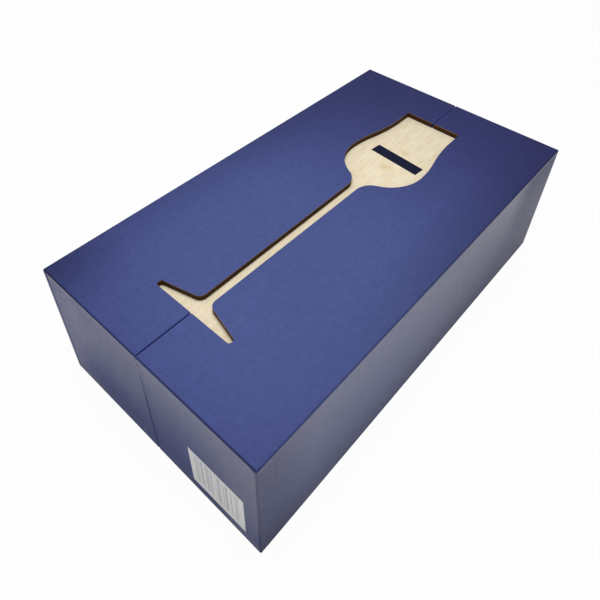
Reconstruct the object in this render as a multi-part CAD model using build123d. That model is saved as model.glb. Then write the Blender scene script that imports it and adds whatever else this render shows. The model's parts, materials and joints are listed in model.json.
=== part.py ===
from build123d import *
import os

# Gift box for two stemmed glasses, closed, lying on its base.
# Millimetres. +X is the width, +Y runs from the foot to the rim of the glass cut-out, +Z is up.
# The origin is the middle of the box's underside.

# Outside of the closed box
box_width = 160.0
box_length = 294.0
box_height = 90.5
edge_round = 0.8  # radius of a papered outer edge
seam_round = 0.3  # radius of the papered edges along the seam

# Boards and papers
cover_paper = 0.4  # covering paper with its glue
lining_paper = 0.3
turn_in = 2.0  # covering paper that shows inside the doors, round the lining
door_board = 3.0
base_board = 3.0
tray_board = 5.0
panel_board = 3.0

# Clearances
seam_gap = 0.7  # between the two doors
crease_gap = 0.2  # over the hinge paper, at the doors' bottom edges
floor_gap = 0.2  # under the doors' end walls
tray_side_gap = 0.7  # from the doors' linings to the tray and its base, at the sides and ends
tray_top_gap = 0.3  # from the doors' linings down to the tray
foam_gap = 0.3  # round the foam blocks and between them
panel_gap = 0.4  # round the wood panel

# The glass whose outline is cut in the doors and whose nests are milled in the foam.
# Heights are measured from the underside of its foot.
glass_height = 227.2
rim_radius = 21.0
rim_wall = 10.5  # the straight part under the rim
waist_share = 0.6  # where the bowl's side turns from hollow to round, as a share of the way down
bowl_radius = 27.3  # the bowl is round below its widest place
bowl_height = 168.3
neck_radius = 12.5  # of the hollow between the bowl and the stem
stem_radius = 3.4
foot_radius = 27.8
foot_edge = 3.5  # height of the foot's outer edge
foot_crown = 9.7  # height at which the foot's slope would reach the stem
foot_fillet = 4.5
foot_tip_share = 0.46  # radius of the foot's edge, as a share of its height
cutout_shift = 1.1  # from the middle of the box to the middle of the cut-out, towards the rim

# Foam blocks: a lower and an upper one for each glass
nest_gap = 1.5  # from a glass to its nest
nest_floor = 12.0  # foam under the bowls
lower_foam_height = 25.0
channel_width = 32.0  # channel for the fingers, across both stems
channel_past_axis = 14.0  # how far the channel runs past each glass's axis

# Wood panel and its nameplate
panel_corner = 1.0
notch_radius = 11.0  # thumb notch in the panel's front edge
plate_length = 37.6
plate_width = 8.4
plate_thickness = 0.15
plate_x = 2.0
plate_y = 66.5
plate_turn = -4.4  # degrees; the plate sits a little crooked

# Magnet catches
magnet_diameter = 3.6
magnet_thickness = 2.0
magnet_gap = 0.1
magnet_x = 15.0
keeper_length = 50.0
keeper_width = 3.0
keeper_thickness = 1.0
keeper_gap = 0.1

# Paper label on the front end wall
label_width = 38.8
label_height = 35.7
label_thickness = 0.15
label_x = 50.5  # middle of the label
label_bottom = 9.5

# Levels and half sizes that follow from the values above
half_width = box_width / 2
half_length = box_length / 2
seam_x = seam_gap / 2
door_top = box_height - cover_paper
door_under = door_top - door_board
lining_under = door_under - lining_paper
tray_top = lining_under - tray_top_gap
door_wall = cover_paper + door_board
door_inside_x = half_width - door_wall
door_inside_y = half_length - door_wall
lined_x = door_inside_x - lining_paper
lined_y = door_inside_y - lining_paper
base_top = cover_paper + base_board
tray_half_width = lined_x - tray_side_gap
tray_half_length = lined_y - tray_side_gap
wall_outside_x = tray_half_width - cover_paper
wall_outside_y = tray_half_length - cover_paper
wall_inside_x = wall_outside_x - tray_board
wall_inside_y = wall_outside_y - tray_board
wall_top = tray_top - cover_paper
panel_under = tray_top - panel_board
foam_half_width = wall_inside_x - foam_gap
foam_half_length = wall_inside_y - foam_gap
foam_inside_x = foam_gap / 2
nest_x = (foam_inside_x + foam_half_width) / 2
nest_axis = base_top + nest_floor + bowl_radius + nest_gap
foam_joint = base_top + lower_foam_height  # where the lower and the upper blocks meet
tray_end_y = wall_outside_y - tray_board / 2  # middle of a tray end board's thickness

standing = (Align.CENTER, Align.CENTER, Align.MIN)


def block(x, y, z):
    # a box from three pairs of limits
    size = [high - low for low, high in (x, y, z)]
    middle = [(high + low) / 2 for low, high in (x, y, z)]
    return Pos(*middle) * Box(*size)


def both_ways(limit):
    return (-limit, limit)


def glass_outline(grow=0.0):
    # Half of the glass's outline on the XY plane, its axis on Y and its foot's underside at y = -grow.
    # grow moves the whole outline outwards.
    rim = rim_radius + grow
    top = glass_height + grow
    bowl = bowl_radius + grow
    stem = stem_radius + grow
    foot = foot_radius + grow
    shoulder = Vector(rim, glass_height - rim_wall)
    widest = Vector(bowl, bowl_height)
    waist = shoulder + (widest - shoulder) * waist_share
    # the bowl's arc meets the neck's arc on the line between their middles
    reach = bowl_radius + neck_radius
    across = stem_radius + neck_radius
    bowl_middle = Vector(0, bowl_height)
    neck_middle = Vector(across, bowl_height - (reach**2 - across**2) ** 0.5)
    bowl_end = bowl_middle + (neck_middle - bowl_middle) * (bowl / reach)
    neck_end = Vector(stem, neck_middle.Y)
    foot_start = Vector(stem, foot_crown + grow)
    foot_tip = Vector(foot, foot_edge + grow)
    with BuildSketch() as half:
        with BuildLine():
            Polyline((0, top), (rim, top), shoulder)
            TangentArc(shoulder, waist, tangent=(0, -1))
            TangentArc(widest, waist, tangent=(0, 1))
            TangentArc(widest, bowl_end, tangent=(0, -1))
            TangentArc(neck_end, bowl_end, tangent=(0, 1))
            Polyline(neck_end, foot_start, foot_tip, (foot, -grow), (0, -grow), (0, top))
        make_face()
        inner = half.vertices().filter_by(lambda v: abs(v.X - stem) < 0.01).sort_by(Axis.Y)
        fillet(inner[0], foot_fillet - grow)
        outer = half.vertices().filter_by(lambda v: abs(v.X - foot) < 0.01 and v.Y < foot_crown)
        fillet(outer, foot_tip_share * (foot_edge + 2 * grow))
    return half.sketch


def whole_outline(grow=0.0):
    half = glass_outline(grow)
    return half + mirror(half, about=Plane.YZ)


def cutout(low, high):
    # the outline as a prism between two levels, in its place over the panel
    place = Pos(0, cutout_shift - glass_height / 2, low)
    return place * extrude(whole_outline(), amount=high - low)


# The fixed tray on its base


def base_cover():
    # reaches out under both side boards to the creases that the doors turn on
    return block(both_ways(half_width), both_ways(tray_half_length), (0, cover_paper))


def base():
    return block(both_ways(wall_outside_x), both_ways(wall_outside_y), (cover_paper, base_top))


def tray_side_wall():
    return block((wall_inside_x, wall_outside_x), both_ways(wall_outside_y), (base_top, wall_top))


def tray_back_wall():
    wall = block(both_ways(wall_inside_x), (wall_inside_y, wall_outside_y), (base_top, wall_top))
    groove_depth = keeper_thickness + keeper_gap
    groove = block(
        both_ways(keeper_length / 2 + keeper_gap),
        both_ways(keeper_width / 2 + keeper_gap),
        (wall_top - groove_depth, wall_top),
    )
    return wall - Pos(0, tray_end_y, 0) * groove


def keeper():
    low = wall_top - keeper_thickness - keeper_gap
    strip = block(
        both_ways(keeper_length / 2),
        both_ways(keeper_width / 2),
        (low, low + keeper_thickness),
    )
    return Pos(0, tray_end_y, 0) * strip


def tray_cover():
    # paper over the edges of the base, the outsides and the top edges of the four tray boards
    outside = block(both_ways(tray_half_width), both_ways(tray_half_length), (cover_paper, tray_top))
    upright = outside.edges().filter_by(Axis.Z)
    outside = fillet(upright, edge_round)
    boards = block(both_ways(wall_outside_x), both_ways(wall_outside_y), (cover_paper, wall_top))
    inside = block(both_ways(wall_inside_x), both_ways(wall_inside_y), (base_top, tray_top))
    return outside - boards - inside


def nest_place(height):
    # the right glass lies with its rim to the front
    return Pos(nest_x, glass_height / 2, height) * Rot(0, 0, 180)


def foam_block(low, high):
    return block((foam_inside_x, foam_half_width), both_ways(foam_half_length), (low, high))


def lower_foam():
    # milled with the round undersides of the glass's bowl and foot
    nest = nest_place(nest_axis) * revolve(glass_outline(nest_gap), Axis.Y)
    return foam_block(base_top, foam_joint) - nest


def upper_foam():
    # cut straight through, with the glass's outline and half of the channel for the fingers
    nest = nest_place(foam_joint) * extrude(whole_outline(nest_gap), amount=panel_under - foam_joint)
    channel_end = nest_x + channel_past_axis
    channel = block((0, channel_end), both_ways(channel_width / 2), (foam_joint, panel_under))
    return foam_block(foam_joint, panel_under) - nest - channel


def thumb_space():
    # in the foam, under the panel's notch
    y = (-foam_half_length, -foam_half_length + notch_radius)
    return block(both_ways(notch_radius), y, (foam_joint, panel_under))


def wood_panel():
    half_x = wall_inside_x - panel_gap
    half_y = wall_inside_y - panel_gap
    panel = block(both_ways(half_x), both_ways(half_y), (panel_under, tray_top))
    panel = fillet(panel.edges().filter_by(Axis.Z), panel_corner)
    notch = Pos(0, -half_y, panel_under) * extrude(Circle(notch_radius), amount=panel_board)
    return panel - notch


def nameplate():
    plate = Rectangle(plate_length, plate_width)
    return Pos(plate_x, plate_y, tray_top) * Rot(0, 0, plate_turn) * extrude(plate, amount=plate_thickness)


# The right door; the left one is its mirror image


def door_form():
    # the papered door before its cut-out: a top, a side and two end walls, open underneath and inside
    form = block((seam_x, half_width), both_ways(half_length), (floor_gap, box_height))
    outer = form.edges().filter_by(Axis.Z).group_by(Axis.X)[-1]
    outer += form.faces().sort_by(Axis.Z)[-1].edges().filter_by(lambda e: e.center().X > seam_x + 0.01)
    form = fillet(outer, edge_round)
    seam = form.faces().sort_by(Axis.X)[0].edges()
    form = fillet(seam.filter_by(lambda e: e.center().Z > floor_gap + 0.01), seam_round)
    form -= block((0, lined_x), both_ways(lined_y), (0, lining_under))
    return form - block((0, box_width), both_ways(lined_y), (0, cover_paper + crease_gap))


def door_top_board():
    # whole, before its cut-out and magnet pockets
    return block(
        (seam_x + cover_paper, half_width - cover_paper),
        both_ways(half_length - cover_paper),
        (door_under, door_top),
    )


def cut_top_board(board):
    for place in magnet_places():
        pocket = Cylinder(magnet_diameter / 2 + magnet_gap, magnet_thickness + magnet_gap, align=standing)
        board -= place * pocket
    return board - cutout(door_under, door_top)


def door_side_board():
    foot = cover_paper + crease_gap + cover_paper
    return block(
        (door_inside_x, half_width - cover_paper),
        both_ways(half_length - cover_paper),
        (foot, door_under),
    )


def door_back_board():
    return block(
        (seam_x + cover_paper, door_inside_x),
        (door_inside_y, half_length - cover_paper),
        (floor_gap + cover_paper, door_under),
    )


def lining_sheet():
    # inside the top, the side and both ends, short of the edges by the covering paper's turn-in
    edge = seam_x + cover_paper + turn_in
    foot = floor_gap + cover_paper + turn_in
    sheet = block((edge, door_inside_x), both_ways(door_inside_y), (foot, door_under))
    return sheet - block((0, lined_x), both_ways(lined_y), (0, lining_under))


def door_cover(inner_layers):
    # what is left of the door's form round its boards and lining, so it turns in over every edge
    cover = door_form()
    for layer in inner_layers:
        cover -= layer
    return cover - cutout(lining_under, box_height)


def door_lining(sheet):
    return sheet - cutout(lining_under, door_under)


def magnet_places():
    return [Pos(magnet_x, side * tray_end_y, door_under) for side in (-1, 1)]


def door_magnets():
    disc = Cylinder(magnet_diameter / 2, magnet_thickness, align=standing)
    return Compound(children=[place * disc for place in magnet_places()])


def label():
    x = (label_x - label_width / 2, label_x + label_width / 2)
    z = (label_bottom, label_bottom + label_height)
    return block(x, (-half_length - label_thickness, -half_length), z)


def front_of(shape):
    return mirror(shape, about=Plane.XZ)


def left_of(shape):
    return mirror(shape, about=Plane.YZ)


def turned(shape):
    return Rot(0, 0, 180) * shape


def tray_parts():
    right_wall = tray_side_wall()
    back_wall = tray_back_wall()
    back_keeper = keeper()
    lower = lower_foam()
    upper = upper_foam()
    return {
        "base_cover": base_cover(),
        "base_board": base(),
        "tray_right_wall": right_wall,
        "tray_left_wall": left_of(right_wall),
        "tray_back_wall": back_wall,
        "tray_front_wall": front_of(back_wall),
        "tray_cover": tray_cover(),
        "back_keeper_strip": back_keeper,
        "front_keeper_strip": front_of(back_keeper),
        "right_foam_lower": lower,
        "left_foam_lower": turned(lower),
        "right_foam_upper": upper - thumb_space(),
        "left_foam_upper": turned(upper) - thumb_space(),
        "wood_panel": wood_panel(),
        "nameplate": nameplate(),
    }


def door_parts():
    top = door_top_board()
    side = door_side_board()
    back = door_back_board()
    front = front_of(back)
    sheet = lining_sheet()
    return {
        "door_top_board": cut_top_board(top),
        "door_side_board": side,
        "door_back_board": back,
        "door_front_board": front,
        "door_cover": door_cover([top, side, back, front, sheet]),
        "door_lining": door_lining(sheet),
        "door_magnets": door_magnets(),
    }


parts = tray_parts()
for name, shape in door_parts().items():
    parts["right_" + name] = shape
    parts["left_" + name] = left_of(shape)
parts["barcode_label"] = label()

os.makedirs("parts", exist_ok=True)
for name, shape in parts.items():
    export_step(shape, f"parts/{name}.step")
    volume = sum(solid.volume for solid in shape.solids())
    print(f"{name}: {len(shape.solids())} solid, {volume / 1000:.2f} cm3")
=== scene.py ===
import bpy
import json
import math
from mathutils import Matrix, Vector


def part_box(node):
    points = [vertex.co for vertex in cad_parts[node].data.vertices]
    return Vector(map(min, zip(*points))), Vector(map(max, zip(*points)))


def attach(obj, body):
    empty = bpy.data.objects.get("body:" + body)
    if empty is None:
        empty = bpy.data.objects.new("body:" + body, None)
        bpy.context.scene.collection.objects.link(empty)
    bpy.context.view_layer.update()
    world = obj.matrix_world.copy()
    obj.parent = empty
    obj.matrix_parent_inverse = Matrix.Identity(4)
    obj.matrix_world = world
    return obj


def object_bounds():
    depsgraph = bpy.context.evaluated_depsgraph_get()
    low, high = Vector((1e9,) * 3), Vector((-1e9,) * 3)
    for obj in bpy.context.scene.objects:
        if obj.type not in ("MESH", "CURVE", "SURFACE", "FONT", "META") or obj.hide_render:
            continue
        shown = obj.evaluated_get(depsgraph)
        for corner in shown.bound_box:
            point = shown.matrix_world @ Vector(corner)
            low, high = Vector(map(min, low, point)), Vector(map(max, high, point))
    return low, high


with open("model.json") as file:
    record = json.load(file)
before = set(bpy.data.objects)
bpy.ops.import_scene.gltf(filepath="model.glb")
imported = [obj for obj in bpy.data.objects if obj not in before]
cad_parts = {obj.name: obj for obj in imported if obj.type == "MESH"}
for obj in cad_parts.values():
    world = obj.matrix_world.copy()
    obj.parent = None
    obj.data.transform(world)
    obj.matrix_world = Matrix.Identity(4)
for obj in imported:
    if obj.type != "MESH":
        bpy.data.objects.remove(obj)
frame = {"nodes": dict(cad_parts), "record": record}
firstLow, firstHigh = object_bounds()
halfWidth, halfLength, lidTop = firstHigh  # of the closed box
print("frame loaded:", len(frame["nodes"]), "nodes")


# small helpers for node trees

def addNode(tree, kind, **values):
    node = tree.nodes.new(kind)
    for key, value in values.items():
        setattr(node, key, value)
    return node


def feed(tree, value, socket):
    # a socket gets a link, anything else is typed in
    if isinstance(value, bpy.types.NodeSocket):
        tree.links.new(value, socket)
    else:
        socket.default_value = value


def calc(tree, operation, *values, clamp=False):
    node = addNode(tree, "ShaderNodeMath", operation=operation, use_clamp=clamp)
    for value, socket in zip(values, node.inputs):
        feed(tree, value, socket)
    return node.outputs[0]


def add(tree, *values):
    total = values[0]
    for value in values[1:]:
        total = calc(tree, "ADD", total, value)
    return total


def times(tree, *values):
    total = values[0]
    for value in values[1:]:
        total = calc(tree, "MULTIPLY", total, value)
    return total


def less(tree, value, *shares):
    # takes each share, 0 to 1, off what is left of a value
    for share in shares:
        value = times(tree, value, calc(tree, "SUBTRACT", 1.0, share))
    return value


def above(tree, value, limit):
    return calc(tree, "GREATER_THAN", value, limit)


def below(tree, value, limit):
    return calc(tree, "LESS_THAN", value, limit)


def remap(tree, value, fromLow, fromHigh, toLow=0.0, toHigh=1.0, smooth=False):
    node = addNode(tree, "ShaderNodeMapRange")
    if smooth:
        node.interpolation_type = "SMOOTHSTEP"
    for number, socket in zip((value, fromLow, fromHigh, toLow, toHigh), node.inputs):
        feed(tree, number, socket)
    return node.outputs[0]


def between(tree, share, first, second):
    # first where the share is 0, second where it is 1
    return remap(tree, share, 0, 1, first, second)


def mixColour(tree, factor, first, second, mode="MIX"):
    node = addNode(tree, "ShaderNodeMix", data_type="RGBA", blend_type=mode)
    feed(tree, factor, node.inputs[0])
    feed(tree, first, node.inputs[6])
    feed(tree, second, node.inputs[7])
    return node.outputs[2]


def splitPoint(tree, point):
    parts = addNode(tree, "ShaderNodeSeparateXYZ")
    feed(tree, point, parts.inputs[0])
    return parts.outputs


def noise(tree, point, scale=1.0, detail=2.0, roughness=0.5, stretch=None):
    if stretch:
        mapping = addNode(tree, "ShaderNodeMapping")
        feed(tree, point, mapping.inputs["Vector"])
        mapping.inputs["Scale"].default_value = stretch
        point = mapping.outputs[0]
    node = addNode(tree, "ShaderNodeTexNoise")
    feed(tree, point, node.inputs["Vector"])
    feed(tree, scale, node.inputs["Scale"])
    node.inputs["Detail"].default_value = detail
    node.inputs["Roughness"].default_value = roughness
    return node.outputs[0]


def farFrom(tree, point, place):
    # distance from an upright line through a place
    flat = addNode(tree, "ShaderNodeVectorMath", operation="MULTIPLY")
    feed(tree, point, flat.inputs[0])
    flat.inputs[1].default_value = (1, 1, 0)
    away = addNode(tree, "ShaderNodeVectorMath", operation="DISTANCE")
    feed(tree, flat.outputs[0], away.inputs[0])
    away.inputs[1].default_value = (*place, 0)
    return away.outputs["Value"]


def newGroup(name, takes, gives):
    # takes: socket name and start value; gives: socket names
    group = bpy.data.node_groups.new(name, "ShaderNodeTree")
    for socketName, value in takes:
        kind = "NodeSocketVector" if value is None else "NodeSocketFloat"
        socket = group.interface.new_socket(socketName, in_out="INPUT", socket_type=kind)
        if value is not None:
            socket.default_value = value
    for socketName in gives:
        group.interface.new_socket(socketName, in_out="OUTPUT", socket_type="NodeSocketFloat")
    start = addNode(group, "NodeGroupInput")
    end = addNode(group, "NodeGroupOutput")
    return group, start.outputs, end.inputs


def useGroup(tree, group, point, **values):
    node = addNode(tree, "ShaderNodeGroup", node_tree=group)
    feed(tree, point, node.inputs["Point"])
    for key, value in values.items():
        feed(tree, value, node.inputs[key])
    return node.outputs


def startMaterial(name, specular=0.5):
    material = bpy.data.materials.new(name)
    material.use_nodes = True
    tree = material.node_tree
    shader = tree.nodes["Principled BSDF"]
    shader.inputs["Specular IOR Level"].default_value = specular
    point = addNode(tree, "ShaderNodeTexCoord").outputs["Object"]
    return material, tree, shader, point


def addBump(tree, shader, height, depth, strength=0.5):
    bump = addNode(tree, "ShaderNodeBump")
    bump.inputs["Strength"].default_value = strength
    bump.inputs["Distance"].default_value = depth
    feed(tree, height, bump.inputs["Height"])
    feed(tree, bump.outputs[0], shader.inputs["Normal"])


def arrange(tree):
    # lays the nodes out in columns, each node left of all that it feeds
    columnWidth = 220
    rowHeight = 180
    column = {node.name: 0 for node in tree.nodes}
    moving = True
    while moving:
        moving = False
        for link in tree.links:
            source = link.from_node.name
            target = link.to_node.name
            if column[source] <= column[target]:
                column[source] = column[target] + 1
                moving = True
    rows = {}
    for node in tree.nodes:
        place = column[node.name]
        rows[place] = rows.get(place, -1) + 1
        node.location = (-place * columnWidth, -rows[place] * rowHeight)


# effects that several finishes share

mostNoise = (0.3, 0.7)  # nearly all of a noise's values lie in here
midNoise = (0.35, 0.65)  # and most of them in here


def makeThreadGrain():
    # crossed threads along the three axes of the box, so each wall shows two of them
    look = {"along": 45, "across": 1500, "roughness": 0.55}
    group, takes, gives = newGroup("threadGrain", [("Point", None), ("Fineness", 1.0)], ["Height"])
    fibres = []
    for axis in range(3):
        stretch = [look["across"]] * 3
        stretch[axis] = look["along"]
        fibre = noise(group, takes["Point"], takes["Fineness"], roughness=look["roughness"], stretch=stretch)
        fibres.append(fibre)
    feed(group, times(group, add(group, *fibres), 1 / 3), gives["Height"])
    arrange(group)
    return group


def makeClouds():
    # slow drift of a dye or a surface, 0 to 1
    group, takes, gives = newGroup("clouds", [("Point", None), ("Scale", 12.0)], ["Drift"])
    level = noise(group, takes["Point"], takes["Scale"], detail=4.0, roughness=0.55)
    feed(group, remap(group, level, *mostNoise), gives["Drift"])
    arrange(group)
    return group


def makeBoxEdges():
    # how near a point of the box's outside is to an outer edge: 1 on it, 0 at Width from it
    takes = [
        ("Point", None),
        ("Half Width", halfWidth),
        ("Half Length", halfLength),
        ("Top", lidTop),
        ("Width", 0.001),
    ]
    group, takes, gives = newGroup("boxEdges", takes, ["Edge", "Corner"])
    x, y, z = splitPoint(group, takes["Point"])
    fromSide = calc(group, "SUBTRACT", takes["Half Width"], calc(group, "ABSOLUTE", x))
    fromEnd = calc(group, "SUBTRACT", takes["Half Length"], calc(group, "ABSOLUTE", y))
    fromTop = calc(group, "SUBTRACT", takes["Top"], z)
    # the second nearest of the three faces tells how near an edge is
    low = calc(group, "MINIMUM", fromSide, fromEnd)
    high = calc(group, "MAXIMUM", fromSide, fromEnd)
    middle = calc(group, "MAXIMUM", low, calc(group, "MINIMUM", high, fromTop))
    feed(group, remap(group, middle, takes["Width"], 0.0, smooth=True), gives["Edge"])
    feed(group, remap(group, high, takes["Width"], 0.0, smooth=True), gives["Corner"])
    arrange(group)
    return group


def makeStreaks():
    # long fine lines along Y, as in a cut veneer, with short darker flecks among them
    look = {
        "broadStretch": (170, 5, 170),
        "fineStretch": (600, 75, 600),
        "fleckStretch": (1500, 150, 1500),
        "fineShare": 0.8,
        "lineFrom": (0.36, 0.64),  # noise that gives no line and a full one
        "fleckFrom": (0.66, 0.78),
    }
    group, takes, gives = newGroup("streaks", [("Point", None), ("Fineness", 1.0)], ["Line", "Fleck"])
    point = takes["Point"]
    fineness = takes["Fineness"]
    broad = noise(group, point, fineness, detail=3.0, roughness=0.6, stretch=look["broadStretch"])
    fine = noise(group, point, fineness, detail=4.0, roughness=0.7, stretch=look["fineStretch"])
    fleck = noise(group, point, fineness, detail=1.0, stretch=look["fleckStretch"])
    line = add(group, times(group, broad, 1 - look["fineShare"]), times(group, fine, look["fineShare"]))
    feed(group, remap(group, line, *look["lineFrom"]), gives["Line"])
    feed(group, remap(group, fleck, *look["fleckFrom"]), gives["Fleck"])
    arrange(group)
    return group


def makeSpecks():
    # small grains and fibres in board, foam or plate
    takes = [("Point", None), ("Scale", 900.0), ("Share", 0.35)]
    group, takes, gives = newGroup("specks", takes, ["Speck"])
    cells = addNode(group, "ShaderNodeTexVoronoi")
    feed(group, takes["Point"], cells.inputs["Vector"])
    feed(group, takes["Scale"], cells.inputs["Scale"])
    feed(group, remap(group, cells.outputs["Distance"], takes["Share"], 0.0), gives["Speck"])
    arrange(group)
    return group


threadGrain = makeThreadGrain()
clouds = makeClouds()
boxEdges = makeBoxEdges()
streaks = makeStreaks()
specks = makeSpecks()
print("shared effects ready")


# the covering paper: its places, dye with painted light and shade, marks with painted shade and highlights,
# and a painted shine, then the paper itself
# four numbers are a ramp: where it starts and ends, and what it gives at its start and end

paperPlaces = {
    "paintedLightMiddle": (0.02, -0.06),  # x and y, the middle of a painted pool of light, where the paper is painted lightest
    "paintedShadeReach": (0.03, 0.22),  # distance from there over which the painted light gives way to painted shade
    "outside": 0.0007,  # how far inside an outer face the paper still counts as its own
    "pastTray": (0.0005, 0.0004),  # behind its ends and above its top all paper is the doors'
    "lidSpare": 0.0001,  # just under and just over the underside of the lid's board
    "freeEdge": 0.0008,  # x, up to which the paper lies over a door's free edge
    "cutMiddle": 0.0010,  # y of the middle of the cut-out
    "cutHalf": 0.1138,  # half of its length
    "nearCornerShadeReach": 0.045,  # of the painted shade at the corner nearest to the camera
}


def findPlaces(tree, point):
    # where on the box a point lies; the names with on, in or along are masks, 0 or 1
    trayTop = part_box("tray_cover")[1]
    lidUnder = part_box("right_door_top_board")[0].z
    pastEnd, pastTop = paperPlaces["pastTray"]
    x, y, z = splitPoint(tree, point)
    spot = {"point": point, "x": x, "y": y, "z": z}
    spot["sideways"] = calc(tree, "ABSOLUTE", x)
    spot["endways"] = calc(tree, "ABSOLUTE", y)
    # the paper is painted darker the farther it lies from the middle of a painted pool of light
    spot["fromMiddle"] = farFrom(tree, point, paperPlaces["paintedLightMiddle"])
    spot["fade"] = remap(tree, spot["fromMiddle"], *paperPlaces["paintedShadeReach"], smooth=True)
    spot["onTop"] = remap(tree, z, lidUnder - paperPlaces["lidSpare"], lidTop)  # a ramp up the lid
    spot["onLid"] = above(tree, z, lidUnder + paperPlaces["lidSpare"])
    spot["onSide"] = above(tree, spot["sideways"], halfWidth - paperPlaces["outside"])
    spot["onEnd"] = above(tree, spot["endways"], halfLength - paperPlaces["outside"])
    spot["onDoor"] = calc(
        tree,
        "MAXIMUM",
        above(tree, spot["endways"], trayTop.y + pastEnd),
        above(tree, z, trayTop.z + pastTop),
    )
    spot["inSeam"] = below(tree, spot["sideways"], paperPlaces["freeEdge"])
    spot["alongCut"] = calc(tree, "COMPARE", y, paperPlaces["cutMiddle"], paperPlaces["cutHalf"])
    # painted shade on the walls at the near upright corner
    nearCornerShade = farFrom(tree, point, (halfWidth, -halfLength))
    nearCornerShade = remap(tree, nearCornerShade, paperPlaces["nearCornerShadeReach"], 0.0, smooth=True)
    spot["nearCornerShade"] = less(tree, nearCornerShade, spot["onTop"])
    return spot


# the dye's random tone, and painted light and shade on the lid and walls
dyeAndPaintedShade = {
    "drift": (0, 1, 0.95, 1.05),
    "mottle": (0, 1, 0.93, 1.07),
    "grain": (*midNoise, 0.93, 1.07),
    "paintedShadeDepth": 0.42,  # painted shade, where it is darkest
    "topShadePower": 1.2,  # power of the painted shade's falloff on top, where it starts later
    "paintedShadeRight": (0.050, 0.080, 0.0, 0.24),  # painted shade on top towards the right edge, by x
    "rightFront": (-0.09, -0.01, 0.2, 1.0),  # how much of that there is, by y
    "rightBack": (0.05, 0.12, 1.0, 0.6),
    "paintedLightLeftHalf": (0.0, -0.04, 0.0, -0.04),  # a little painted light on top, by x
    "paintedShadeLeft": (-0.055, -0.080, 0.0, 0.14),  # painted shade on top towards the left edge, by x
    "leftBack": (0.09, 0.03, 0.0, 1.0),  # how much of that there is, by y
    "paintedShadeFrontLeft": (0.052, 0.0, 0.0, 0.34),  # painted shade on top, by the distance from the front left corner
    "nearCornerShade": (0.077, 0.22),  # painted shade at the near corner, on the front wall and on the side wall
    "foot": (0.040, 0.008, 0.0, 0.20),  # painted shade along the foot of the side walls, by z
    "footReach": (0.16, 0.09, 0.0, 1.0),  # how much of that there is, by the distance from the lit middle
    "paintedLightEndLeft": (-0.015, -0.060, 0.0, 0.18),  # painted light on the end walls towards the left, by x
    "bluerBack": (-0.10, -0.06, 0.0, 0.35),  # share on top that doesn't turn violet, by y
    "bluerLeft": (0.05, -0.03, 0.5, 1.0),  # how much of that there is, by x
}


def makeShade(tree, spot, grain, drift, mottle):
    # strength of the dye, with painted light and shade over it
    x, y, z, onTop = spot["x"], spot["y"], spot["z"], spot["onTop"]
    shade = times(
        tree,
        remap(tree, drift, *dyeAndPaintedShade["drift"]),
        remap(tree, mottle, *dyeAndPaintedShade["mottle"]),
        remap(tree, grain, *dyeAndPaintedShade["grain"]),
    )
    faded = calc(tree, "POWER", spot["fade"], between(tree, onTop, 1.0, dyeAndPaintedShade["topShadePower"]))
    # painted shade towards the lid's right and left edges and its front left corner, painted light over its
    # left half
    right = times(
        tree,
        remap(tree, x, *dyeAndPaintedShade["paintedShadeRight"]),
        remap(tree, y, *dyeAndPaintedShade["rightFront"]),
        remap(tree, y, *dyeAndPaintedShade["rightBack"]),
    )
    left = times(tree, remap(tree, x, *dyeAndPaintedShade["paintedShadeLeft"]), remap(tree, y, *dyeAndPaintedShade["leftBack"]))
    edges = add(tree, right, remap(tree, x, *dyeAndPaintedShade["paintedLightLeftHalf"]), left)
    paintedShadeFrontLeft = farFrom(tree, spot["point"], (-halfWidth, -halfLength))
    paintedShadeFrontLeft = remap(tree, paintedShadeFrontLeft, *dyeAndPaintedShade["paintedShadeFrontLeft"], smooth=True)
    foot = times(
        tree,
        remap(tree, z, *dyeAndPaintedShade["foot"], smooth=True),
        remap(tree, spot["fromMiddle"], *dyeAndPaintedShade["footReach"], smooth=True),
        spot["onSide"],
    )
    shade = less(
        tree,
        shade,
        times(tree, faded, dyeAndPaintedShade["paintedShadeDepth"]),
        times(tree, edges, onTop),
        times(tree, paintedShadeFrontLeft, onTop),
        times(tree, spot["nearCornerShade"], between(tree, spot["onSide"], *dyeAndPaintedShade["nearCornerShade"])),
        foot,
    )
    gain = less(tree, remap(tree, x, *dyeAndPaintedShade["paintedLightEndLeft"]), onTop, spot["onSide"])
    return times(tree, shade, add(tree, gain, 1.0))


def makeShadeHue(tree, spot):
    # how far the painted shade has turned the blue violet
    bluerBack = remap(tree, spot["y"], *dyeAndPaintedShade["bluerBack"])
    bluerLeft = remap(tree, spot["x"], *dyeAndPaintedShade["bluerLeft"])
    return less(tree, spot["fade"], times(tree, spot["onTop"], bluerBack, bluerLeft))


marks = {
    "foldWidth": 0.0014,
    "cornerSoftness": 0.6,  # share of a fold that the upright corners lack
    "foldEndways": (0.1430, 0.1462, 0.55, 1.0),  # folds along the sides are fainter, by y
    "beside": (0.0018, 0.0004, 0.0, 0.08),  # painted shade beside the seam of the doors, by x
    "besideHeight": (0.070, 0.050, 0.0, 1.0),
    "paintedEdgeHighlight": (0.0011, 0.0006, 0.0, 1.0),  # painted highlight along the free edges, by x
    "edgeHighlightHeight": (0.048, 0.080, 0.0, 0.9),
    "edgeHighlightTop": (0.0895, 0.0885, 0.0, 1.0),
    "frontWall": -0.1425,  # y, in front of which the front wall begins
    "edgeHighlightBack": 0.13,  # painted highlight on the lid's seam behind the cut-out
    "skin": 0.00006,  # of the lid's outer face, which the cut leaves blue
    "cutSide": 0.03,  # x, inside which the whole cut-out lies
}


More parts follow.
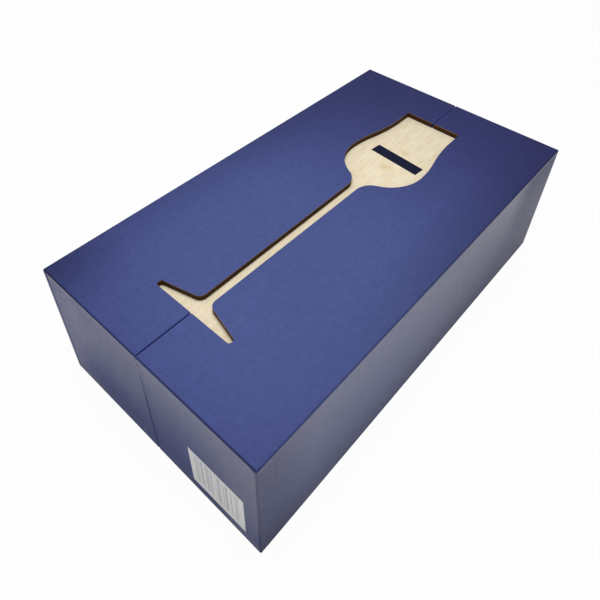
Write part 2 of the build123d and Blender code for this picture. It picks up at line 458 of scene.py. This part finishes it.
def makeFolds(tree, spot, edges):
    # painted shade, deeper along the folds, softer down the upright corners, and beside the seam of the
    # doors
    fold = calc(tree, "SUBTRACT", edges["Edge"], times(tree, edges["Corner"], marks["cornerSoftness"]))
    fold = times(tree, fold, remap(tree, spot["endways"], *marks["foldEndways"]))
    beside = times(
        tree,
        remap(tree, spot["sideways"], *marks["beside"], smooth=True),
        remap(tree, spot["z"], *marks["besideHeight"]),
        spot["onDoor"],
    )
    return calc(tree, "MAXIMUM", fold, beside, clamp=True)


def makePaintedEdgeHighlight(tree, spot):
    # painted highlight: paler along the doors' free edges, up the front wall and behind the cut-out
    front = times(
        tree,
        remap(tree, spot["sideways"], *marks["paintedEdgeHighlight"], smooth=True),
        remap(tree, spot["z"], *marks["edgeHighlightHeight"]),
        below(tree, spot["y"], marks["frontWall"]),
        remap(tree, spot["z"], *marks["edgeHighlightTop"]),
    )
    behindCut = above(tree, spot["y"], paperPlaces["cutMiddle"] + paperPlaces["cutHalf"])
    back = times(tree, behindCut, marks["edgeHighlightBack"], spot["inSeam"])
    return times(tree, calc(tree, "MAXIMUM", front, back), spot["onDoor"])


def makeCut(tree, spot):
    # the cut through the lid's paper, seen from above the panel
    return times(
        tree,
        below(tree, spot["z"], lidTop - marks["skin"]),
        spot["onLid"],
        spot["alongCut"],
        below(tree, spot["sideways"], marks["cutSide"]),
        above(tree, spot["sideways"], paperPlaces["freeEdge"]),
    )


# the coat's shine over the walls is a painted reflection: weaker where the paper would reflect shade, low
# down, at the near corner and along the folds
shine = {
    "top": 1.0,
    "height": (0.0, 0.085),  # z, over which the walls' shine comes up
    "endFoot": (0.016, 0.004, 0.0, 0.14),  # of the end walls, along the table, by z
    "endHigh": 0.8,  # of the end walls, under the lid's edge
    "endRise": 2.1,  # power of the height, so that it comes up late
    "left": (0.01, -0.045, 0.0, 1.0),  # on the left it is fainter but comes up sooner, by x
    "leftRise": (0.010, 0.062, 0.0, 1.0),  # by z
    "leftHigh": 0.464,  # of the left, under the lid's edge
    "leftOutside": 0.11,  # gain of the left, outwards
    "leftShineShade": (-0.060, -0.070, 1.0, 0.75),  # painted shade in the reflection at the far left, by x
    "outwards": (0.040, 0.078, 0.0, 1.0),  # towards the upright corners, by x
    "cornerLow": 0.46,  # of the end walls low down at the corners
    "nearFoot": (0.070, 0.078, 0.0, 1.0),  # shine taken off at the foot of the near corner, painted shade in the reflection, by x
    "nearFootHeight": (0.040, 0.012, 0.0, 0.65),  # by z
    "turnMiddle": 0.0019,  # x, where the front's right half turns in at the seam, away from the light
    "turnWidth": (0.0024, 0.0006, 0.0, 1.0),  # by the distance from there
    "turnHeight": (0.045, 0.085, 0.70, 0.12),  # by z
    "sideLow": 0.42,  # of the side walls, at the table
    "sideFrontRise": 1.6,  # power of the height in front and at the back
    "sideBackRise": 0.9,
    "sideBack": (-0.09, -0.01),  # y, from front to back
    "sideCornerShineShade": 0.52,  # share of the shine taken off at the near corner, as painted shade in its reflection
    "farSide": (0.150, 0.184, 0.0, 1.0),  # by the distance from the lit middle
    "farLow": 0.62,
    "farHigh": 0.34,
    "mottle": (0, 1, 1.12, 0.88),
    "foldShineShade": 0.6,  # share of the shine taken off along the folds, painted shade in the reflection
}


def makeEndShine(tree, spot):
    # painted shade in the reflection: less shine towards the table, most of all in the middle of the ends
    x, z = spot["x"], spot["z"]
    outwards = remap(tree, spot["sideways"], *shine["outwards"], smooth=True)
    nearFoot = times(tree, remap(tree, x, *shine["nearFoot"]), remap(tree, z, *shine["nearFootHeight"]))
    low = less(tree, times(tree, outwards, shine["cornerLow"]), nearFoot)
    low = add(tree, low, remap(tree, z, *shine["endFoot"]))
    left = remap(tree, x, *shine["left"])
    high = between(tree, left, shine["endHigh"], shine["leftHigh"])
    high = add(tree, high, times(tree, outwards, left, shine["leftOutside"]))
    high = times(tree, high, remap(tree, x, *shine["leftShineShade"], smooth=True))
    slow = calc(tree, "POWER", remap(tree, z, *shine["height"]), shine["endRise"])
    quick = remap(tree, z, *shine["leftRise"], smooth=True)
    level = between(tree, between(tree, left, slow, quick), low, high)
    turn = calc(tree, "ABSOLUTE", calc(tree, "SUBTRACT", x, shine["turnMiddle"]))
    turn = times(
        tree,
        remap(tree, turn, *shine["turnWidth"], smooth=True),
        remap(tree, z, *shine["turnHeight"]),
        below(tree, spot["y"], 0.0),
    )
    return times(tree, less(tree, level, turn), spot["onEnd"])


def makeSideShine(tree, spot):
    # painted reflection on the side walls: the shine rises with height, less at the near corner
    height = remap(tree, spot["z"], *shine["height"])
    frontRise = calc(tree, "POWER", height, shine["sideFrontRise"])
    backRise = calc(tree, "POWER", height, shine["sideBackRise"])
    rise = remap(tree, spot["y"], *shine["sideBack"], frontRise, backRise)
    level = between(tree, rise, shine["sideLow"], 1.0)
    level = less(tree, level, times(tree, spot["nearCornerShade"], shine["sideCornerShineShade"]))
    far = remap(tree, spot["fromMiddle"], *shine["farSide"], smooth=True)
    level = between(tree, far, level, between(tree, frontRise, shine["farLow"], shine["farHigh"]))
    return times(tree, level, spot["onSide"])


def makeShine(tree, spot, mottle, fold):
    # painted reflection: the walls' shine, full shine on top, less along the folds
    walls = calc(tree, "MAXIMUM", makeEndShine(tree, spot), makeSideShine(tree, spot))
    level = less(tree, walls, spot["onTop"])
    level = add(tree, level, times(tree, spot["onTop"], shine["top"]))
    level = times(tree, level, remap(tree, mottle, *shine["mottle"]))
    onFlats = calc(tree, "SUBTRACT", 1.0, times(tree, fold, shine["foldShineShade"]))
    return calc(tree, "MULTIPLY", level, onFlats, clamp=True)


def makeCoveringPaper():
    look = {
        "blue": (0.063, 0.087, 0.256, 1),
        "violet": (0.045, 0.050, 0.240, 1),  # the hue of the painted shade, far from the lit middle
        "paintedShadeBlue": (0.014, 0.020, 0.090, 1),  # painted shade along the paper's folds over the edges, and in the seam beside the cut-out
        "seam": (0.054, 0.080, 0.275, 1),  # on the lid's free edges, where they face each other: a bluer colour painted in against the seam's shade
        # lighter blue on the back half of the seam, painted light against its shade
        "backSeam": (0.050, 0.075, 0.420, 1),
        # painted highlight along the doors' free edges
        "paintedEdgeHighlight": (0.26, 0.30, 0.44, 1),
        "scorched": (0.23, 0.105, 0.035, 1),  # the paper's own edge along the cut-out
        "driftScale": 9.0,
        "mottleScale": 300.0,
        "driftRoughness": (0.51, 0.59),
        "mottleRoughness": (-0.08, 0.08),
        "foldRoughness": 0.25,
        "specular": 0.2,
        "sizeRoughness": 0.26,  # of the thin glue size that gives the paper its shine
        "grainDepth": 0.00006,
        "grainStrength": 0.7,
        "mottleHeight": 0.35,  # beside the threads' height
    }
    material, tree, shader, point = startMaterial("coveringPaper", look["specular"])
    grain = useGroup(tree, threadGrain, point)["Height"]
    drift = useGroup(tree, clouds, point, Scale=look["driftScale"])["Drift"]
    mottle = useGroup(tree, clouds, point, Scale=look["mottleScale"])["Drift"]
    edges = useGroup(tree, boxEdges, point, Width=marks["foldWidth"])
    spot = findPlaces(tree, point)

    fold = makeFolds(tree, spot, edges)
    onSeam = times(tree, spot["inSeam"], spot["onLid"])
    seamColour = mixColour(tree, above(tree, spot["y"], 0.0), look["seam"], look["backSeam"])
    # painted shade on the free edges in the seam beside the cut-out
    paintedShadeNearCut = times(tree, spot["alongCut"], spot["inSeam"], spot["onDoor"])
    colour = mixColour(tree, makeShadeHue(tree, spot), look["blue"], look["violet"])
    colour = mixColour(tree, fold, colour, look["paintedShadeBlue"])
    colour = mixColour(tree, onSeam, colour, seamColour)
    colour = mixColour(tree, paintedShadeNearCut, colour, look["paintedShadeBlue"])
    colour = mixColour(tree, makePaintedEdgeHighlight(tree, spot), colour, look["paintedEdgeHighlight"])
    shade = makeShade(tree, spot, grain, drift, mottle)
    grey = addNode(tree, "ShaderNodeCombineColor")
    for socket in grey.inputs:
        feed(tree, shade, socket)
    colour = mixColour(tree, 1.0, colour, grey.outputs[0], mode="MULTIPLY")
    colour = mixColour(tree, makeCut(tree, spot), colour, look["scorched"])
    feed(tree, colour, shader.inputs["Base Color"])

    fold = calc(tree, "MAXIMUM", fold, paintedShadeNearCut)
    rough = add(
        tree,
        between(tree, drift, *look["driftRoughness"]),
        between(tree, mottle, *look["mottleRoughness"]),
        times(tree, fold, look["foldRoughness"]),
    )
    feed(tree, rough, shader.inputs["Roughness"])
    feed(tree, makeShine(tree, spot, mottle, fold), shader.inputs["Coat Weight"])
    shader.inputs["Coat Roughness"].default_value = look["sizeRoughness"]
    relief = add(tree, grain, times(tree, mottle, look["mottleHeight"]))
    addBump(tree, shader, relief, look["grainDepth"], look["grainStrength"])
    arrange(tree)
    return material


# the other finishes; roughness goes from its first to its second value

def makeLiningPaper():
    look = {
        "colour": (0.016, 0.019, 0.048, 1),
        "light": (0.024, 0.028, 0.064, 1),
        "driftScale": 15.0,
        "fineness": 0.7,
        "specular": 0.35,
        "roughness": (0.55, 0.70),
        "grainDepth": 0.00005,
    }
    material, tree, shader, point = startMaterial("liningPaper", look["specular"])
    grain = useGroup(tree, threadGrain, point, Fineness=look["fineness"])["Height"]
    drift = useGroup(tree, clouds, point, Scale=look["driftScale"])["Drift"]
    feed(tree, mixColour(tree, drift, look["colour"], look["light"]), shader.inputs["Base Color"])
    feed(tree, remap(tree, grain, *mostNoise, *look["roughness"]), shader.inputs["Roughness"])
    addBump(tree, shader, grain, look["grainDepth"])
    arrange(tree)
    return material


def makeVeneer():
    look = {
        "pale": (0.88, 0.79, 0.59, 1),
        "grain": (0.67, 0.56, 0.37, 1),
        "rosy": (0.84, 0.70, 0.52, 1),
        "fleck": (0.60, 0.46, 0.28, 1),
        "mark": (0.62, 0.46, 0.20, 1),
        "grainShare": 0.8,
        "grainDrift": (0.7, 1.2),  # of the grain, from faint to strong patches
        "driftScale": 26.0,
        "toneScale": 210.0,
        "rosyShare": 0.3,
        "fleckShare": 0.5,
        # two faint resin marks beside the plate: x, y, radius and strength
        "resinMarks": ((0.0018, 0.0762, 0.0046, 0.75), (0.0019, 0.0553, 0.0066, 0.60)),
        "markCore": 0.2,  # share of the radius that is fully marked
        "markPatches": (0.2, 0.8, 0.3, 1.0),
        "specular": 0.35,
        "roughness": (0.52, 0.68),
        "grainDepth": 0.00006,
    }
    material, tree, shader, point = startMaterial("veneer", look["specular"])
    figure = useGroup(tree, streaks, point)
    drift = useGroup(tree, clouds, point, Scale=look["driftScale"])["Drift"]
    tone = useGroup(tree, clouds, point, Scale=look["toneScale"])["Drift"]
    line = times(tree, figure["Line"], look["grainShare"], between(tree, drift, *look["grainDrift"]))
    colour = mixColour(tree, line, look["pale"], look["grain"])
    colour = mixColour(tree, times(tree, tone, look["rosyShare"]), colour, look["rosy"])
    colour = mixColour(tree, times(tree, figure["Fleck"], look["fleckShare"]), colour, look["fleck"])
    for markX, markY, radius, strength in look["resinMarks"]:
        away = farFrom(tree, point, (markX, markY))
        soft = remap(tree, away, radius, radius * look["markCore"], 0.0, strength, smooth=True)
        soft = times(tree, soft, remap(tree, tone, *look["markPatches"]))
        colour = mixColour(tree, soft, colour, look["mark"])
    feed(tree, colour, shader.inputs["Base Color"])
    feed(tree, between(tree, figure["Line"], *look["roughness"]), shader.inputs["Roughness"])
    addBump(tree, shader, figure["Line"], look["grainDepth"])
    arrange(tree)
    return material


def makeScorchedBoard():
    look = {
        "char": (0.026, 0.011, 0.002, 1),
        "toast": (0.078, 0.036, 0.009, 1),
        "amber": (0.24, 0.15, 0.05, 1),  # painted highlight along the foot's right flank
        "ridgeStretch": (900, 900, 40),  # the beam leaves fine upright ridges down the cut
        "patchScale": 140.0,
        "toastOnRidges": 0.45,
        "toastHigh": (0.0876, 0.0902, 0.0, 0.75),  # by z
        "paintedLightBeforeRim": (0.105, 0.113, 0.30, 0.0),  # by y, painted light on the cut's walls that face sideways, none on the rim's wall
        "amberRight": (0.006, 0.012, 0.0, 0.75),  # by x
        "amberFront": (-0.098, -0.102, 0.0, 1.0),  # by y
        "amberOnRidges": (*mostNoise, 0.5, 1.0),
        "specular": 0.12,
        "roughness": (0.65, 0.85),
        "ridgeDepth": 0.00003,
    }
    material, tree, shader, point = startMaterial("scorchedBoard", look["specular"])
    x, y, z = splitPoint(tree, point)
    ridge = noise(tree, point, stretch=look["ridgeStretch"])
    patch = useGroup(tree, clouds, point, Scale=look["patchScale"])["Drift"]
    toast = times(tree, remap(tree, ridge, *midNoise), look["toastOnRidges"])
    toast = add(tree, toast, remap(tree, y, *look["paintedLightBeforeRim"]))
    toastHigh = times(tree, patch, remap(tree, z, *look["toastHigh"]))
    toast = calc(tree, "ADD", toast, toastHigh, clamp=True)
    colour = mixColour(tree, toast, look["char"], look["toast"])
    # painted highlight on the foot's right flank, stronger on the ridges
    amber = times(
        tree,
        remap(tree, x, *look["amberRight"]),
        remap(tree, y, *look["amberFront"]),
        remap(tree, ridge, *look["amberOnRidges"]),
    )
    feed(tree, mixColour(tree, amber, colour, look["amber"]), shader.inputs["Base Color"])
    feed(tree, remap(tree, ridge, *mostNoise, *look["roughness"]), shader.inputs["Roughness"])
    addBump(tree, shader, ridge, look["ridgeDepth"])
    arrange(tree)
    return material


def makeGreyBoard():
    look = {
        "board": (0.33, 0.30, 0.26, 1),
        "fibre": (0.17, 0.15, 0.13, 1),
        "speckScale": 700.0,
        "speckShare": 0.3,
        "speckStrength": 0.5,
        "pulpStretch": (240, 240, 1100),  # pressed in layers
        "layerStrength": (0.0, 0.4),
        "specular": 0.25,
        "roughness": (0.78, 0.92),
        "pulpDepth": 0.0001,
    }
    material, tree, shader, point = startMaterial("greyBoard", look["specular"])
    speck = useGroup(tree, specks, point, Scale=look["speckScale"], Share=look["speckShare"])["Speck"]
    pulp = noise(tree, point, detail=4.0, roughness=0.65, stretch=look["pulpStretch"])
    colour = mixColour(tree, times(tree, speck, look["speckStrength"]), look["board"], look["fibre"])
    layer = remap(tree, pulp, *midNoise, *look["layerStrength"])
    feed(tree, mixColour(tree, layer, colour, look["fibre"]), shader.inputs["Base Color"])
    feed(tree, remap(tree, pulp, *mostNoise, *look["roughness"]), shader.inputs["Roughness"])
    addBump(tree, shader, pulp, look["pulpDepth"])
    arrange(tree)
    return material


def makeFoam():
    look = {
        "foam": (0.022, 0.022, 0.025, 1),
        "cell": (0.009, 0.009, 0.010, 1),
        "cellScale": 1100.0,
        "cellShare": 0.55,
        "cellDrift": (0.6, 1.0),
        "driftScale": 60.0,
        "specular": 0.3,
        "roughness": (0.84, 0.96),
        "cellDepth": 0.00025,
        "cellStrength": 0.8,
    }
    material, tree, shader, point = startMaterial("foam", look["specular"])
    cell = useGroup(tree, specks, point, Scale=look["cellScale"], Share=look["cellShare"])["Speck"]
    drift = useGroup(tree, clouds, point, Scale=look["driftScale"])["Drift"]
    share = times(tree, cell, between(tree, drift, *look["cellDrift"]))
    feed(tree, mixColour(tree, share, look["foam"], look["cell"]), shader.inputs["Base Color"])
    feed(tree, between(tree, drift, *look["roughness"]), shader.inputs["Roughness"])
    addBump(tree, shader, times(tree, cell, -1.0), look["cellDepth"], look["cellStrength"])
    arrange(tree)
    return material


def makePlate():
    look = {
        "navy": (0.0085, 0.0100, 0.036, 1),
        "worn": (0.016, 0.018, 0.050, 1),
        "speckScale": 1500.0,
        "speckShare": 0.4,
        "driftScale": 160.0,
        "wornPatches": 0.5,
        "wornSpecks": 0.2,
        "specular": 0.4,
        "roughness": (0.36, 0.48),
        "speckDepth": 0.00002,
        "speckStrength": 0.4,
    }
    material, tree, shader, point = startMaterial("plate", look["specular"])
    speck = useGroup(tree, specks, point, Scale=look["speckScale"], Share=look["speckShare"])["Speck"]
    drift = useGroup(tree, clouds, point, Scale=look["driftScale"])["Drift"]
    patches = times(tree, drift, look["wornPatches"])
    worn = calc(tree, "ADD", patches, times(tree, speck, look["wornSpecks"]), clamp=True)
    feed(tree, mixColour(tree, worn, look["navy"], look["worn"]), shader.inputs["Base Color"])
    feed(tree, between(tree, drift, *look["roughness"]), shader.inputs["Roughness"])
    addBump(tree, shader, speck, look["speckDepth"], look["speckStrength"])
    arrange(tree)
    return material


def makeLabelPaper():
    look = {
        "paper": (0.97, 0.97, 0.95, 1),
        "ink": (0.32, 0.32, 0.33, 1),
        "module": 0.00036,  # width of the thinnest bar
        "printed": 0.28,  # share of the modules
        "sideMargin": 0.0040,
        "topMargin": 0.0024,
        "bottomMargin": 0.0060,
        "driftScale": 90.0,
        "inkDrift": (0.8, 1.0),
        "specular": 0.9,
        "roughness": (0.32, 0.42),
        "varnish": 1.0,
        "varnishRoughness": 0.3,
        "varnishIor": 2.5,
        "fineness": 1.4,
        "grainDepth": 0.00002,
        "grainStrength": 0.4,
    }
    material, tree, shader, point = startMaterial("labelPaper", look["specular"])
    shader.inputs["Coat Weight"].default_value = look["varnish"]
    shader.inputs["Coat Roughness"].default_value = look["varnishRoughness"]
    shader.inputs["Coat IOR"].default_value = look["varnishIor"]
    low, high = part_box("barcode_label")
    place = splitPoint(tree, point)
    step = calc(tree, "FLOOR", calc(tree, "DIVIDE", place["X"], look["module"]))
    dice = addNode(tree, "ShaderNodeTexWhiteNoise", noise_dimensions="1D")
    feed(tree, step, dice.inputs["W"])
    bar = times(
        tree,
        below(tree, dice.outputs["Value"], look["printed"]),
        above(tree, place["X"], low.x + look["sideMargin"]),
        below(tree, place["X"], high.x - look["sideMargin"]),
        above(tree, place["Z"], low.z + look["bottomMargin"]),
        below(tree, place["Z"], high.z - look["topMargin"]),
    )
    drift = useGroup(tree, clouds, point, Scale=look["driftScale"])["Drift"]
    ink = times(tree, bar, between(tree, drift, *look["inkDrift"]))
    feed(tree, mixColour(tree, ink, look["paper"], look["ink"]), shader.inputs["Base Color"])
    feed(tree, between(tree, drift, *look["roughness"]), shader.inputs["Roughness"])
    grain = useGroup(tree, threadGrain, point, Fineness=look["fineness"])["Height"]
    addBump(tree, shader, grain, look["grainDepth"], look["grainStrength"])
    arrange(tree)
    return material


metals = {
    "nickel": {
        "bright": (0.66, 0.64, 0.60, 1),
        "dull": (0.528, 0.512, 0.480, 1),
        "roughness": (0.19, 0.33),
        "stretch": (400, 400, 400),
        "lineDepth": 0.00001,
    },
    "steelStrip": {
        "bright": (0.55, 0.56, 0.58, 1),
        "dull": (0.440, 0.448, 0.464, 1),
        "roughness": (0.29, 0.43),
        "stretch": (30, 1500, 1500),  # rolled along X
        "lineDepth": 0.00001,
    },
}


def makeMetal(name):
    look = metals[name]
    material, tree, shader, point = startMaterial(name)
    shader.inputs["Metallic"].default_value = 1.0
    lines = noise(tree, point, detail=3.0, roughness=0.6, stretch=look["stretch"])
    colour = mixColour(tree, remap(tree, lines, *midNoise), look["dull"], look["bright"])
    feed(tree, colour, shader.inputs["Base Color"])
    feed(tree, remap(tree, lines, *mostNoise, *look["roughness"]), shader.inputs["Roughness"])
    addBump(tree, shader, lines, look["lineDepth"])
    arrange(tree)
    return material


finishes = {
    "covering_paper": makeCoveringPaper(),
    "lining_paper": makeLiningPaper(),
    "foam": makeFoam(),
    "veneer": makeVeneer(),
    "nameplate": makePlate(),
    "label_paper": makeLabelPaper(),
    "magnet": makeMetal("nickel"),
    "steel": makeMetal("steelStrip"),
    "cut_board": makeScorchedBoard(),
    "board": makeGreyBoard(),
}
for row in frame["record"]["subparts"]:
    mesh = frame["nodes"][row["node"]].data
    mesh.materials.clear()
    mesh.materials.append(finishes[row["material_slot"]])
print("finishes ready:", len(finishes))


# where the side paper laps over the end walls, at the four upright corners

cornerFlap = {
    "inner": 0.0770,  # x of its hand-cut edge
    "outer": 0.0794,
    "low": 0.0012,
    "high": 0.0896,
    "steps": 15,  # up its height
    "proud": 0.00012,  # how far it stands out from the wall
    "bevel": 0.00006,
    "bevelSegments": 2,
    "smoothBelow": 35,  # degrees between faces
    "wander": 0.00025,  # how far the cut strays
    "longWave": (130, 0.6),  # of the cut: how quick, and its share
    "shortWave": (310, 0.4),
}


def makeCornerFlap(name, door, side, end):
    inner, outer = cornerFlap["inner"], cornerFlap["outer"]
    low, high = cornerFlap["low"], cornerFlap["high"]
    doorLow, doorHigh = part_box(door + "_door_cover")
    wall = doorLow.y if end < 0 else doorHigh.y
    bpy.ops.object.select_all(action="DESELECT")
    bpy.ops.mesh.primitive_grid_add(
        x_subdivisions=1,
        y_subdivisions=cornerFlap["steps"],
        size=1,
        location=(side * (inner + outer) / 2, wall, (low + high) / 2),
        rotation=(math.radians(90 * -end), 0, 0),
    )
    flap = bpy.context.object
    flap.name = name
    flap.scale = (outer - inner, high - low, 1)
    bpy.ops.object.transform_apply(location=True, rotation=True, scale=True)
    longQuick, longShare = cornerFlap["longWave"]
    shortQuick, shortShare = cornerFlap["shortWave"]
    for vertex in flap.data.vertices:
        # the inner edge wanders as a knife does
        if abs(abs(vertex.co.x) - inner) < 1e-6:
            stray = math.sin(vertex.co.z * longQuick + end) * longShare
            stray += math.sin(vertex.co.z * shortQuick + side * 2) * shortShare
            vertex.co.x += side * stray * cornerFlap["wander"]
    solidify = flap.modifiers.new("thickness", "SOLIDIFY")
    solidify.thickness = cornerFlap["proud"] * 2  # the inner half lies in the wall
    solidify.offset = 0
    bpy.ops.object.modifier_apply(modifier="thickness")
    bevel = flap.modifiers.new("soft", "BEVEL")
    bevel.width = cornerFlap["bevel"]
    bevel.segments = cornerFlap["bevelSegments"]
    bevel.limit_method = "ANGLE"
    bpy.ops.object.modifier_apply(modifier="soft")
    bpy.ops.object.mode_set(mode="EDIT")
    bpy.ops.mesh.select_all(action="SELECT")
    bpy.ops.mesh.normals_make_consistent(inside=False)
    bpy.ops.object.mode_set(mode="OBJECT")
    bpy.ops.object.shade_smooth_by_angle(angle=math.radians(cornerFlap["smoothBelow"]))
    flap.data.materials.append(finishes["covering_paper"])
    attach(flap, door + "_door")


for door, side in (("right", 1), ("left", -1)):
    for place, end in (("front", -1), ("back", 1)):
        makeCornerFlap(door + "_" + place + "_flap", door, side, end)
print("corner flaps ready")


# studio

studio = {
    "white": (1, 1, 1, 1),
    "floorSize": 8,
    "floorColour": (0.88, 0.88, 0.88, 1),
    "floorWhite": 0.965,  # how much of a plain white the camera sees over the floor's shading
    "floorInGloss": 0.12,
    "sky": 0.47,
    "skyInGloss": 0.08,
    "lamp": (0.0, -0.055, 0.50),
    "lampSize": 0.22,
    "lampPower": 1.25,
    "camera": (0.1586, -0.21833, 0.33211),
    "cameraTurn": (49.028, -1.0686, 41.7188),  # in degrees
    "lens": 35.677,
    "sensor": 36,
    "shift": (0.0071, -0.1816),
    "nearest": 0.01,  # that the camera sees
}


def inGloss(tree, ray):
    return calc(tree, "MAXIMUM", ray.outputs["Is Glossy Ray"], ray.outputs["Is Transmission Ray"])


def makeFloor():
    bpy.ops.object.select_all(action="DESELECT")
    bpy.ops.mesh.primitive_plane_add(size=studio["floorSize"], location=(0, 0, 0))
    floor = bpy.context.object
    floor.name = "floor"
    material = bpy.data.materials.new("floor")
    material.use_nodes = True
    tree = material.node_tree
    tree.nodes.clear()
    matt = addNode(tree, "ShaderNodeBsdfDiffuse")
    matt.inputs["Color"].default_value = studio["floorColour"]
    plain = addNode(tree, "ShaderNodeEmission")
    plain.inputs["Color"].default_value = studio["white"]
    ray = addNode(tree, "ShaderNodeLightPath")
    seen = times(tree, ray.outputs["Is Camera Ray"], studio["floorWhite"])
    mirrored = times(tree, inGloss(tree, ray), studio["floorInGloss"])
    mix = addNode(tree, "ShaderNodeMixShader")
    feed(tree, calc(tree, "MAXIMUM", seen, mirrored), mix.inputs[0])
    feed(tree, matt.outputs[0], mix.inputs[1])
    feed(tree, plain.outputs[0], mix.inputs[2])
    feed(tree, mix.outputs[0], addNode(tree, "ShaderNodeOutputMaterial").inputs["Surface"])
    arrange(tree)
    floor.data.materials.append(material)


def makeSky():
    world = bpy.data.worlds.new("sky")
    bpy.context.scene.world = world
    world.use_nodes = True
    tree = world.node_tree
    back = tree.nodes["Background"]
    back.inputs["Color"].default_value = studio["white"]
    ray = addNode(tree, "ShaderNodeLightPath")
    seen = times(tree, ray.outputs["Is Camera Ray"], 1 - studio["sky"])
    mirrored = times(tree, inGloss(tree, ray), studio["skyInGloss"] - studio["sky"])
    feed(tree, add(tree, seen, mirrored, studio["sky"]), back.inputs["Strength"])
    arrange(tree)


def makeLamp():
    bpy.ops.object.light_add(type="AREA", location=studio["lamp"])
    lamp = bpy.context.object
    lamp.name = "softLamp"
    lamp.data.shape = "SQUARE"
    lamp.data.size = studio["lampSize"]
    lamp.data.energy = studio["lampPower"]
    lamp.visible_glossy = False  # no hot spot on the paper


def makeCamera():
    bpy.ops.object.camera_add(location=studio["camera"])
    camera = bpy.context.object
    camera.rotation_euler = [math.radians(angle) for angle in studio["cameraTurn"]]
    camera.data.lens = studio["lens"]
    camera.data.sensor_width = studio["sensor"]
    camera.data.shift_x, camera.data.shift_y = studio["shift"]
    camera.data.clip_start = studio["nearest"]
    bpy.context.scene.camera = camera


makeFloor()
makeSky()
makeLamp()
makeCamera()
bpy.context.scene.view_settings.view_transform = "Standard"
print("studio ready")
